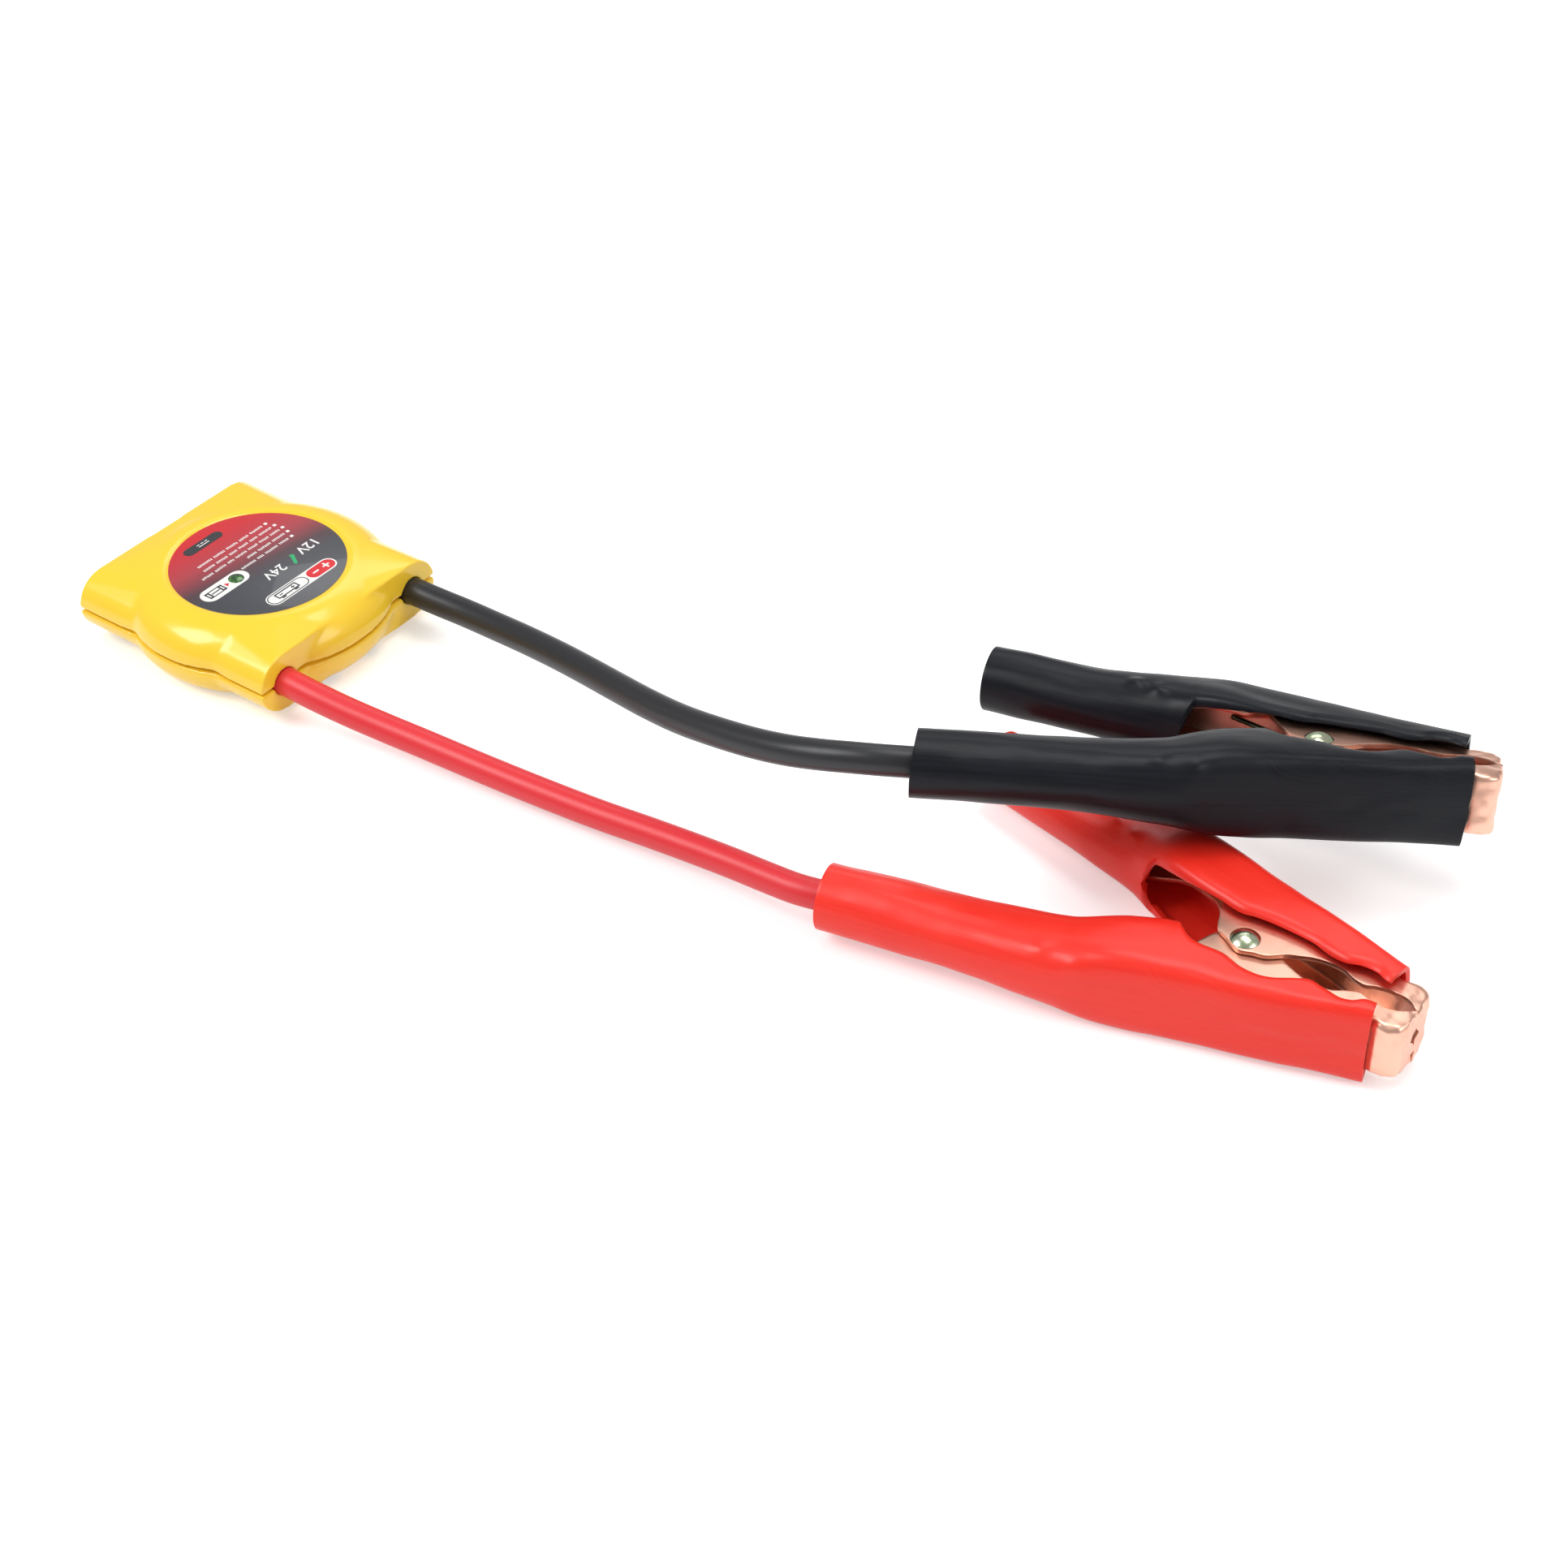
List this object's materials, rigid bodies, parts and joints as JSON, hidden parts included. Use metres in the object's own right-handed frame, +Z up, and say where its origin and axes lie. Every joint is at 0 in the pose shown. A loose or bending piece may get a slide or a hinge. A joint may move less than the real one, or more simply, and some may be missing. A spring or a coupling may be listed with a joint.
{
  "type": "clamp-on vehicle surge protector",
  "caption": "Flat square surge protector with a round label and status light, on two short leads that end in sprung battery clamps with PVC sleeves.",
  "frame": {"origin": "centre of the flat underside of the housing, on the surface that the set lies on", "axes": "+X along the leads towards the clamps, +Z up, red lead on the -Y side"},
  "size_m": [0.3838, 0.1455, 0.0534],
  "materials": {
    "housing_plastic": "glossy warm yellow moulded ABS",
    "label_film": null,
    "light_lens": "clear green moulded epoxy",
    "board_laminate": "green solder mask",
    "varistor_coating": "dipped epoxy coating",
    "diode_plastic": "moulded, fine matt",
    "fuse_glass": "clear glass tube with metal caps",
    "resistor_coating": "dipped coating with colour bands",
    "tinned_metal": "tin plated",
    "zinc_steel": "zinc plated with a faint yellow-green passivation",
    "red_jacket": "smooth extruded PVC cable jacket, satin",
    "black_jacket": "smooth extruded PVC cable jacket, satin",
    "copper_plate": "pressed steel with a pale copper plating",
    "red_sleeve_pvc": "glossy soft PVC tube with faint drawing lines",
    "black_sleeve_pvc": "glossy soft PVC tube with faint drawing lines"
  },
  "bodies": {
    "root": {"housing_top": "housing_plastic", "housing_bottom": "housing_plastic", "label": "label_film", "light_window": "light_lens", "status_led": "light_lens", "circuit_board": "board_laminate", "varistor_discs": "varistor_coating", "transient_diodes": "diode_plastic", "glass_fuse": "fuse_glass", "board_resistors": "resistor_coating", "red_lug": "tinned_metal", "black_lug": "tinned_metal", "terminal_screws": "zinc_steel", "lead_saddle": "diode_plastic", "saddle_screws": "zinc_steel", "housing_screws": "zinc_steel", "red_lead_end": "red_jacket", "black_lead_end": "black_jacket", "red_lead": "red_jacket", "black_lead": "black_jacket", "red_cable_lever": "copper_plate", "red_pivot_rivet": "zinc_steel", "red_torsion_spring": "zinc_steel", "red_cable_sleeve": "red_sleeve_pvc", "red_lead_crimp": "copper_plate", "black_cable_lever": "copper_plate", "black_pivot_rivet": "zinc_steel", "black_torsion_spring": "zinc_steel", "black_cable_sleeve": "black_sleeve_pvc", "black_lead_crimp": "copper_plate"},
    "red_free": {"red_free_lever": "copper_plate", "red_free_sleeve": "red_sleeve_pvc"},
    "black_free": {"black_free_lever": "copper_plate", "black_free_sleeve": "black_sleeve_pvc"}
  },
  "joints": [
    {"name": "red_jaw", "type": "hinge", "parent": "root", "child": "red_free", "pos_m": [0.3002, 0.0249, 0.01245], "axis": [-0.0175, -0.0002, 0.9998], "range_deg": [0, 28], "stiffness_Nm_per_rad": 2.5, "springref_deg": -40.11, "deforming": ["red_torsion_spring"]},
    {"name": "black_jaw", "type": "hinge", "parent": "root", "child": "black_free", "pos_m": [0.2888, 0.0798, 0.0312], "axis": [-0.104, 0.2921, 0.9507], "range_deg": [0, 28], "stiffness_Nm_per_rad": 2.5, "springref_deg": -40.11, "deforming": ["black_torsion_spring"]}
  ]
}
